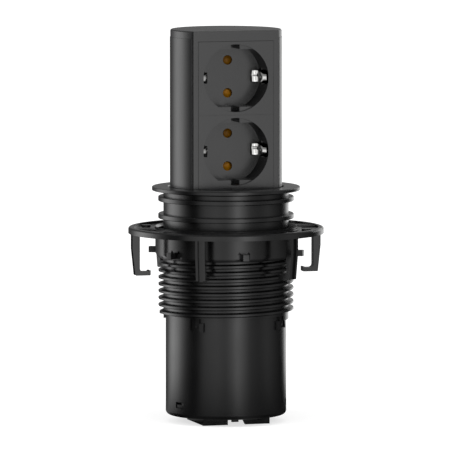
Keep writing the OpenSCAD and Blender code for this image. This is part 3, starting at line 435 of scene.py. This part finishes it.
# %% [markdown]
# ## Rounded edges
# No moulded edge is sharp: a radius of a few tenths of a millimetre catches a thin line of light, and that
# line is what makes black plastic readable. The CAD parts have exact shapes with sharp edges. A copy of the
# part's mesh is welded, its flat areas are joined to single faces, and a Bevel modifier rounds what is left.
# A flat area that runs round a hole would be one face wound round that hole, and drawn across it. So two
# cuts through the middle of the part stay in as seams.

# %% Weld a copy and join its flat areas
# In metres, and NO_AREA in square metres: what counts as one corner, no edge, on a cut, and no face
WELD = 2e-6
NO_LENGTH = 1e-6
ON_CUT = 4e-6
NO_AREA = 2e-9
JOIN_BELOW = math.radians(0.6)
# These are flat and stand upright, with holes from front to back, so their second cut lies level
FRONT_PARTS = ("socket_upper", "socket_lower", "front_plate")


def split_overlaps(work):
    """A face wound round a hole can fill the hole when it is drawn: split such a face into triangles."""
    bad = []
    for face in work.faces:
        if len(face.verts) > 4:
            corners = [v.co for v in face.verts]
            drawn = sum(area_tri(*(corners[i] for i in tri)) for tri in tessellate_polygon([corners]))
            if drawn > face.calc_area() * 1.002 + 1e-12:
                bad.append(face)
    if bad:
        bmesh.ops.triangulate(work, faces=bad, ngon_method="EAR_CLIP")
    print("faces split:", len(bad))


def joined_copy(node_name):
    """The mesh of a CAD part with each flat area as one face, or as a few beside the two seams."""
    mesh = nodes[node_name].data.copy()
    work = bmesh.new()
    work.from_mesh(mesh)
    bmesh.ops.remove_doubles(work, verts=work.verts, dist=WELD)
    bmesh.ops.dissolve_degenerate(work, edges=work.edges, dist=NO_LENGTH)
    low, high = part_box(node_name)
    middle = Vector((0, 0, (low.z + high.z) / 2))
    for normal in ((1, 0, 0), (0, 0, 1) if node_name in FRONT_PARTS else (0, 1, 0)):
        cut = bmesh.ops.bisect_plane(work, geom=work.verts[:] + work.edges[:] + work.faces[:], dist=ON_CUT,
                                     plane_co=middle, plane_no=normal)
        for item in cut["geom_cut"]:
            if isinstance(item, bmesh.types.BMEdge):
                item.seam = True
    bmesh.ops.dissolve_limit(work, angle_limit=JOIN_BELOW, verts=work.verts, edges=work.edges,
                             delimit={"NORMAL", "SEAM"})
    split_overlaps(work)
    work.to_mesh(mesh)
    work.free()
    return mesh


def drop_empty_faces(mesh):
    """A bevel can leave a many-sided face with no area, which is drawn as a spike: take it out."""
    work = bmesh.new()
    work.from_mesh(mesh)
    empty = [face for face in work.faces if len(face.verts) > 6 and face.calc_area() < NO_AREA]
    if empty:
        bmesh.ops.delete(work, geom=empty, context="FACES_ONLY")
        work.to_mesh(mesh)
        print("empty faces taken out:", len(empty))
    work.free()


# %% [markdown]
# ## True normals
# Shiny plastic shows every fault of its normals. A bevel shades from the round edge into the face, which
# leaves star-shaped patches on a wide flat, and a welded tube is a ring of narrow flats. Both have a known
# answer: a flat face has one direction, and a round wall points away from the axis.

# %% Find the flat faces and the round walls
# Widths in metres: a face narrower than the first is part of a rounded edge, and one wider than the second
# is part of a curved wall if it meets its neighbour at a small angle
NARROW = 0.0004
WIDE = 0.0006
# A round wall's corners lie this close to one radius, its radius is at least the second value, and one of
# its faces reaches this far round the axis at most
ONE_RADIUS = 2e-5
LEAST_RADIUS = 0.002
FACE_REACH = math.cos(math.radians(9))


def flat_faces(mesh):
    """Faces that are truly flat: their neighbours at a small angle are only the narrow strips of an edge."""
    width = [face.area / max((mesh.vertices[a].co - mesh.vertices[b].co).length for a, b in face.edge_keys)
             for face in mesh.polygons]
    beside = {}
    for face in mesh.polygons:
        for key in face.edge_keys:
            beside.setdefault(key, []).append(face.index)
    most_turn, least_turn = math.cos(math.radians(26)), math.cos(math.radians(0.3))
    flats = set()
    for face in mesh.polygons:
        if width[face.index] < NARROW:
            continue
        near = {other for key in face.edge_keys for other in beside[key]} - {face.index}
        curved = any(most_turn < face.normal.dot(mesh.polygons[other].normal) < least_turn
                     and (width[other] > 0.45 * width[face.index] or width[other] > WIDE) for other in near)
        if len(face.vertices) > 6 or not curved:
            flats.add(face.index)
    return flats


def wall_side(face, corners):
    """1 for a face of an outer wall round the Z axis, -1 for one of a bore, and 0 for any other face."""
    radii = [c.to_2d().length for c in corners]
    heights = [c.z for c in corners]
    level = max(heights) - min(heights) < NO_LENGTH
    if max(radii) - min(radii) > ONE_RADIUS or min(radii) < LEAST_RADIUS or level:
        return 0
    middle = sum((c.to_2d() for c in corners), Vector((0, 0))).normalized()
    if min(middle.dot(c.to_2d().normalized()) for c in corners) < FACE_REACH:
        return 0
    return 1 if face.normal.to_2d().dot(middle) > 0 else -1


def set_true_normals(mesh):
    """Give flat faces and round walls their exact directions, so that highlights run straight."""
    flats = flat_faces(mesh)
    sides = {}
    whole = set()
    for face in mesh.polygons:
        side = wall_side(face, [mesh.vertices[v].co for v in face.vertices])
        if side:
            whole.add(face.index)
            for v in face.vertices:
                sides[v] = side
    directions = [Vector(corner.vector) for corner in mesh.corner_normals]
    for face in mesh.polygons:
        for loop in face.loop_indices:
            v = mesh.loops[loop].vertex_index
            if face.index in flats and face.index not in whole:
                directions[loop] = face.normal.copy()
            elif v in sides:
                radial = (mesh.vertices[v].co * Vector((1, 1, 0))).normalized() * sides[v]
                if face.index in whole or radial.dot(directions[loop]) > math.cos(math.radians(20)):
                    directions[loop] = radial
    mesh.normals_split_custom_set(directions)
    return len(sides)


# %% Round the parts that show
SHARP = math.radians(28)
ROUND_FROM = math.radians(32)
EDGE_MM = {"barrel": 0.22, "clamp_ring": 0.3, "clamp_nut": 0.25, "lower_housing": 0.25, "bottom_insert": 0.3,
           "column_shell": 0.2, "front_plate": 0.12, "top_cap": 0.25, "socket_upper": 0.25,
           "socket_lower": 0.25, "front_guide": 0.3}
body_of = {n: body for body, members in frame["record"]["behaviour"]["bodies"].items() for n in members}


def stand_for(piece, node_name):
    """Let a finished piece ride on the CAD part's body and stand in its place."""
    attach(piece, body_of[node_name])
    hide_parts(node_name)


def rounded(node_name, radius_mm):
    mesh = joined_copy(node_name)
    mesh.shade_smooth()
    mesh.set_sharp_from_angle(angle=SHARP)
    piece = bpy.data.objects.new(node_name + "_rounded", mesh)
    bpy.context.scene.collection.objects.link(piece)
    bevel = piece.modifiers.new("edge", "BEVEL")
    bevel.width = radius_mm * MM
    bevel.segments = 2
    bevel.limit_method = "ANGLE"
    bevel.angle_limit = ROUND_FROM
    bevel.use_clamp_overlap = True
    bevel.miter_outer = "MITER_ARC"
    bevel.harden_normals = True
    done = bpy.data.meshes.new_from_object(piece.evaluated_get(bpy.context.evaluated_depsgraph_get()))
    piece.modifiers.clear()
    piece.data = done
    drop_empty_faces(done)
    corners = set_true_normals(done)
    done.materials.clear()
    done.materials.append(finishes[slot_of[node_name]])
    stand_for(piece, node_name)
    print(node_name, "rounded,", len(done.polygons), "faces,", corners, "corners on round walls")


for name, radius_mm in EDGE_MM.items():
    rounded(name, radius_mm)

# %% [markdown]
# ## Earth contacts
# One nickel-plated strip makes both side contacts of a socket. It runs behind the cup, comes through two
# slots, lies on the recess floor for a few millimetres, goes up the wall and ends in a sprung nose with a
# lead-in lip. The strip is bent from flat stock, so a grid of points that follows the bent line gives its
# shape: a stiffening groove is pressed into the pad, a round hole relieves the bend, and the lip is crowned.
# Polished metal shows these forms only if its normals really turn, so they are in the mesh.

# %% Helpers for a bent line
def soften(points, reach, steps):
    """Cut each corner of a line with an arc that starts `reach` before it."""
    line = [points[0]]
    for before, corner, after in zip(points, points[1:], points[2:]):
        a = corner + (before - corner).normalized() * min(reach, (before - corner).length * 0.48)
        b = corner + (after - corner).normalized() * min(reach, (after - corner).length * 0.48)
        for i in range(steps + 1):
            t = i / steps
            line.append(a * (1 - t) ** 2 + corner * (2 * t * (1 - t)) + b * t ** 2)
    return line + [points[-1]]


def spaced(line, step):
    """Points at even steps along a line."""
    out = [line[0]]
    for a, b in zip(line, line[1:]):
        parts = max(1, round((b - a).length / step))
        out += [a.lerp(b, (i + 1) / parts) for i in range(parts)]
    return out


def smooth_share(value, low, high):
    t = min(1, max(0, (value - low) / (high - low)))
    return t * t * (3 - 2 * t)


# %% Shape the strip, in mm
# Its thickness, where it comes through the cup's slot, the recess floor, the bend at the wall and the nose
STRIP = 0.8
SLOT_X = 14.4
PAD_Y = -3.5
PAD_END = Vector((18.2, -4.2))
NOSE = Vector((15.6, -14.4))
# Rows of points across the strip, as shares of half its width
ROWS = [i / 8 - 1 for i in range(17)]


def contact_line(back_y):
    """The strip seen from above, from the lip on one side round the back of the cup to the other lip."""
    side = [Vector((SLOT_X, back_y)), Vector((SLOT_X, PAD_Y)), PAD_END, PAD_END + Vector((0.2, -1.6)),
            NOSE, NOSE + Vector((1.5, -2.2)), NOSE + Vector((3.4, -2.9))]
    mirrored = [Vector((-v.x, v.y)) for v in reversed(side)]
    return spaced(soften(mirrored + side, 1.3, 6), 0.3)


def strip_mesh(node_name, line, middle_z, half_width):
    """A sheet along the line: narrower and crowned at the lips, with a groove pressed in at the pads."""
    work = bmesh.new()
    grid = []
    for i, place in enumerate(line):
        along = (line[min(i + 1, len(line) - 1)] - line[max(i - 1, 0)]).normalized()
        inward = Vector((along.y, -along.x))
        depth = -place.y
        lip = smooth_share(depth, -NOSE.y - 1.5, -NOSE.y + 2.4)
        narrow = half_width * (1 - 0.5 * smooth_share(depth, -NOSE.y - 0.2, -NOSE.y + 2.6))
        pad = smooth_share(abs(place.x), 14.6, 15.0) * (1 - smooth_share(abs(place.x), 17.9, 18.2))
        pad = pad if place.y > PAD_END.y - 0.1 else 0
        column = []
        for row in ROWS:
            z = row * narrow
            groove = 0.35 * pad * math.exp(-((z - 0.8) / 0.6) ** 2)
            crown = 0.5 * lip * row * row
            spot = place - inward * (groove + crown)
            column.append(work.verts.new((spot.x * MM, spot.y * MM, (middle_z + z) * MM)))
        grid.append(column)
    for a, b in zip(grid, grid[1:]):
        for k in range(len(ROWS) - 1):
            work.faces.new((a[k], b[k], b[k + 1], a[k + 1]))
    mesh = bpy.data.meshes.new(node_name + "_bent")
    work.to_mesh(mesh)
    work.free()
    mesh.shade_smooth()
    return mesh


def relief_drill(middle_z):
    """Two round bars, one for the relief hole in each bend."""
    drill = bpy.data.meshes.new("relief_drill")
    work = bmesh.new()
    for sign in (-1, 1):
        place = Vector((sign * (PAD_END.x + 0.1), PAD_END.y, middle_z + 0.3)) * MM
        bmesh.ops.create_cone(work, cap_ends=True, segments=40, radius1=1.05 * MM, radius2=1.05 * MM,
                              depth=4 * MM, matrix=Matrix.Translation(place) @ Matrix.Rotation(math.pi / 2, 4, "X"))
    work.to_mesh(drill)
    work.free()
    piece = bpy.data.objects.new("relief_drill", drill)
    bpy.context.scene.collection.objects.link(piece)
    return piece


# %% Bend the earth contacts
def earth_contact(node_name):
    low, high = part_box(node_name)
    middle_z = (low.z + high.z) / 2 / MM
    line = contact_line(high.y / MM - STRIP / 2)
    mesh = strip_mesh(node_name, line, middle_z, (high.z - low.z) / 2 / MM)
    piece = bpy.data.objects.new(node_name + "_bent", mesh)
    bpy.context.scene.collection.objects.link(piece)
    wall = piece.modifiers.new("wall", "SOLIDIFY")
    wall.thickness = STRIP * MM
    wall.offset = 0
    wall.use_even_offset = True
    drill = relief_drill(middle_z)
    hole = piece.modifiers.new("relief_holes", "BOOLEAN")
    hole.object = drill
    hole.operation = "DIFFERENCE"
    hole.solver = "EXACT"
    edge = piece.modifiers.new("edge", "BEVEL")
    edge.width = 0.12 * MM
    edge.segments = 2
    edge.limit_method = "ANGLE"
    edge.angle_limit = math.radians(50)
    done = bpy.data.meshes.new_from_object(piece.evaluated_get(bpy.context.evaluated_depsgraph_get()))
    piece.modifiers.clear()
    piece.data = done
    bpy.data.objects.remove(drill)
    done.materials.clear()
    done.materials.append(finishes[slot_of[node_name]])
    stand_for(piece, node_name)
    print(node_name, "bent from strip,", len(done.polygons), "faces")


for name in ("earth_clip_upper", "earth_clip_lower"):
    earth_contact(name)

# %% [markdown]
# ## Screws
# Every screw holds one part to another, and all have a low domed head with a cross recess over a threaded
# shank. They differ only in size, place and direction. That is work for Geometry Nodes: one tree builds a
# screw from a few named sizes and puts it on points, and each CAD screw gives one point and one direction.
# The head's two cones only touch, so the exact Boolean joins them as it cuts the cross.

# %% Read places and directions from the CAD screws
def loose_parts(node_name):
    """The corners of each separate solid of a CAD part."""
    work = bmesh.new()
    work.from_mesh(nodes[node_name].data)
    bmesh.ops.remove_doubles(work, verts=work.verts, dist=WELD)
    found = set()
    parts = []
    for start in work.verts:
        if start in found:
            continue
        found.add(start)
        queue = [start]
        part = []
        while queue:
            vertex = queue.pop()
            part.append(vertex.co.copy())
            for edge in vertex.link_edges:
                other = edge.other_vert(vertex)
                if other not in found:
                    found.add(other)
                    queue.append(other)
        parts.append(part)
    work.free()
    return parts


def measure_screw(part, radial):
    """Seat and direction of one CAD screw's head, and the sizes of its head and shank."""
    low = Vector([min(v[i] for v in part) for i in range(3)])
    high = Vector([max(v[i] for v in part) for i in range(3)])
    middle = (low + high) / 2
    if radial:
        direction = Vector((middle.x, middle.y, 0)).normalized()
    else:
        longest = max(range(3), key=lambda i: high[i] - low[i])
        direction = Vector([1.0 if i == longest else 0.0 for i in range(3)])
    levels = [v.dot(direction) for v in part]

    def girth(level):
        ring = [v - direction * v.dot(direction) for v, own in zip(part, levels) if abs(own - level) < 1e-5]
        centre = sum(ring, Vector()) / len(ring)
        return max((v - centre).length for v in ring)

    if girth(min(levels)) > girth(max(levels)):
        direction = -direction
        levels = [-level for level in levels]
    far, near = max(levels), min(levels)
    seat = sorted({round(level, 6) for level in levels})[-2]
    centre = middle - direction * middle.dot(direction)
    return {"Seat": centre + direction * seat, "Direction": direction, "Head radius": girth(far),
            "Head height": far - seat, "Shank radius": girth(near), "Length": seat - near}


# %% Build the screw tree
def named_inputs(title, numbers, others):
    """A new Geometry Nodes tree with named inputs, and a way to read each of them."""
    tree = bpy.data.node_groups.new(title, "GeometryNodeTree")
    sockets = [("Geometry", "Geometry")] + [(name, "Float") for name in numbers] + others
    for name, kind in sockets:
        tree.interface.new_socket(name, in_out="INPUT", socket_type="NodeSocket" + kind)
    tree.interface.new_socket("Geometry", in_out="OUTPUT", socket_type="NodeSocketGeometry")
    plan = Tree(tree)
    given = plan.node("NodeGroupInput")
    return plan, lambda name: plan.out(given, name)


def finish_plan(plan, geometry, material):
    """Close a tree with plain geometry in one material."""
    real = plan.node("GeometryNodeRealizeInstances", {}, {"Geometry": plan.out(geometry)})
    dressed = plan.node("GeometryNodeSetMaterial", {}, {"Geometry": plan.out(real), "Material": material})
    plan.node("NodeGroupOutput", {}, {0: plan.out(dressed)})
    print(plan.tree.name, "has", len(plan.tree.nodes), "nodes")
    return plan.tree


def screw_tree():
    plan, size = named_inputs("screw_on_points",
                              ("Head radius", "Head height", "Shank radius", "Length", "Thread pitch"),
                              [("Finish", "Material")])
    head_r, head_h, shank_r, length = (size(t) for t in ("Head radius", "Head height", "Shank radius", "Length"))

    def cone(corners, rings, top, bottom, depth):
        return plan.out(plan.node("GeometryNodeMeshCone", {}, {
            "Vertices": corners, "Side Segments": rings, "Radius Top": top, "Radius Bottom": bottom,
            "Depth": depth}))

    def moved(geometry, up):
        offset = plan.node("ShaderNodeCombineXYZ", {}, {"Z": up})
        return plan.out(plan.node("GeometryNodeTransform", {}, {"Geometry": geometry,
                                                                "Translation": plan.out(offset)}))

    def fed(made, socket, pieces):
        """Link several pieces to one socket of a node."""
        for piece in pieces:
            plan.tree.links.new(piece.socket, made.inputs[socket])
        return plan.out(made)

    def cross_bar(across, wide):
        box = plan.node("ShaderNodeCombineXYZ", {}, {"X": head_r * across, "Y": head_r * wide, "Z": head_h * 0.9})
        bar = plan.node("GeometryNodeMeshCube", {}, {"Size": plan.out(box)})
        return moved(plan.out(bar), head_h * 0.95)

    foot = cone(28, 1, head_r, head_r * 0.97, head_h * 0.45)
    dome = cone(28, 3, head_r * 0.62, head_r, head_h * 0.55)
    shank = cone(20, 1, shank_r * 0.82, shank_r * 0.6, length)
    bars = [cross_bar(1.05, 0.26), cross_bar(0.26, 1.05)]
    head = fed(plan.node("GeometryNodeJoinGeometry"), 0, [moved(foot, 0), moved(dome, head_h * 0.45)])
    cutter = plan.node("GeometryNodeMeshBoolean", {"operation": "DIFFERENCE", "solver": "EXACT"},
                       {"Mesh 1": head, "Self Intersection": True})
    recessed = fed(cutter, "Mesh 2", bars)
    helix = plan.node("GeometryNodeCurveSpiral", {}, {
        "Resolution": 14, "Rotations": length * 0.8 / size("Thread pitch"), "Start Radius": shank_r * 0.78,
        "End Radius": shank_r * 0.88, "Height": length * 0.8})
    wire = plan.node("GeometryNodeCurvePrimitiveCircle", {}, {"Resolution": 5, "Radius": shank_r * 0.12})
    thread = plan.node("GeometryNodeCurveToMesh", {}, {"Curve": plan.out(helix), "Profile Curve": plan.out(wire),
                                                       "Fill Caps": True})
    whole = fed(plan.node("GeometryNodeJoinGeometry"), 0,
                [recessed, moved(shank, length * -1), moved(plan.out(thread), length * -0.9)])
    turn = plan.node("GeometryNodeInputNamedAttribute", {"data_type": "FLOAT_VECTOR"}, {"Name": "turn"})
    placed = plan.node("GeometryNodeInstanceOnPoints", {}, {
        "Points": size("Geometry"), "Instance": whole, "Rotation": plan.out(turn)})
    return finish_plan(plan, placed, size("Finish"))


screw_plan = screw_tree()


# %% Put the screws on their points
def grown(piece_name, points, plan, values, node_name, turns=()):
    """Points that a Geometry Nodes tree turns into a plain mesh, which stands for the CAD part."""
    mesh = bpy.data.meshes.new(piece_name)
    mesh.from_pydata(points, [], [])
    if turns:
        turn = mesh.attributes.new("turn", "FLOAT_VECTOR", "POINT")
        for i, angles in enumerate(turns):
            turn.data[i].vector = Vector(angles)
    piece = bpy.data.objects.new(piece_name, mesh)
    bpy.context.scene.collection.objects.link(piece)
    maker = piece.modifiers.new("maker", "NODES")
    maker.node_group = plan
    for item in plan.interface.items_tree:
        if item.item_type == "SOCKET" and item.in_out == "INPUT" and item.name in values:
            maker[item.identifier] = values[item.name]
    done = bpy.data.meshes.new_from_object(piece.evaluated_get(bpy.context.evaluated_depsgraph_get()))
    piece.modifiers.clear()
    piece.data = done
    done.set_sharp_from_angle(angle=math.radians(30))
    stand_for(piece, node_name)
    print(piece_name, len(done.polygons), "faces, box", [round(v / MM, 1) for v in piece.dimensions])
    return piece


def screws(node_name, radial=False):
    found = [measure_screw(part, radial) for part in loose_parts(node_name)]
    turns = [screw["Direction"].to_track_quat("Z", "Y").to_euler() for screw in found]
    values = {**found[0], "Thread pitch": found[0]["Shank radius"] * 0.8, "Finish": finishes[slot_of[node_name]]}
    grown(node_name + "_cross", [screw["Seat"] for screw in found], screw_plan, values, node_name, turns)


for name in ("cover_screws", "terminal_screws", "clamp_screws", "rail_screws", "strip_screw"):
    screws(name)
screws("base_screws", radial=True)

# %% [markdown]
# ## Shutter springs
# Each shutter is pushed back by a small coil of wire. A coil is a circle carried along a spiral, which
# Geometry Nodes make from four named sizes: the coil's radius, the wire's radius, the turns and the length.

# %% Wind the springs
# The wire's radius in metres and the coil's turns; the shutter travels 5.5 mm
WIRE = 0.0002
TURNS = 7.0
SPRINGS = {"shutter_spring_upper": "upper_shutter_slide", "shutter_spring_lower": "lower_shutter_slide"}


def spring_tree():
    plan, size = named_inputs("coil_of_wire", ("Coil radius", "Wire radius", "Turns", "Length"),
                              [("Place", "Vector"), ("Finish", "Material")])
    path = plan.node("GeometryNodeCurveSpiral", {}, {
        "Resolution": 24, "Rotations": size("Turns"), "Start Radius": size("Coil radius"),
        "End Radius": size("Coil radius"), "Height": size("Length")})
    wire = plan.node("GeometryNodeCurvePrimitiveCircle", {}, {"Resolution": 12, "Radius": size("Wire radius")})
    coil = plan.node("GeometryNodeCurveToMesh", {}, {"Curve": plan.out(path), "Profile Curve": plan.out(wire),
                                                     "Fill Caps": True})
    placed = plan.node("GeometryNodeTransform", {}, {"Geometry": plan.out(coil), "Translation": size("Place")})
    return finish_plan(plan, placed, size("Finish"))


spring_plan = spring_tree()
for name, joint in SPRINGS.items():
    low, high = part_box(name)
    middle = (low + high) / 2
    length = high.z - low.z
    values = {"Coil radius": (high.x - low.x) / 2 - WIRE, "Wire radius": WIRE, "Turns": TURNS,
              "Length": length - 2 * WIRE, "Place": (middle.x, middle.y, low.z + WIRE),
              "Finish": finishes[slot_of[name]]}
    coil = grown(name + "_wire", [(0, 0, 0)], spring_plan, values, name)
    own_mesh(coil)

# %% [markdown]
# ## End
# The last cell says that the scene is built.

# %% The end
print("scene built")
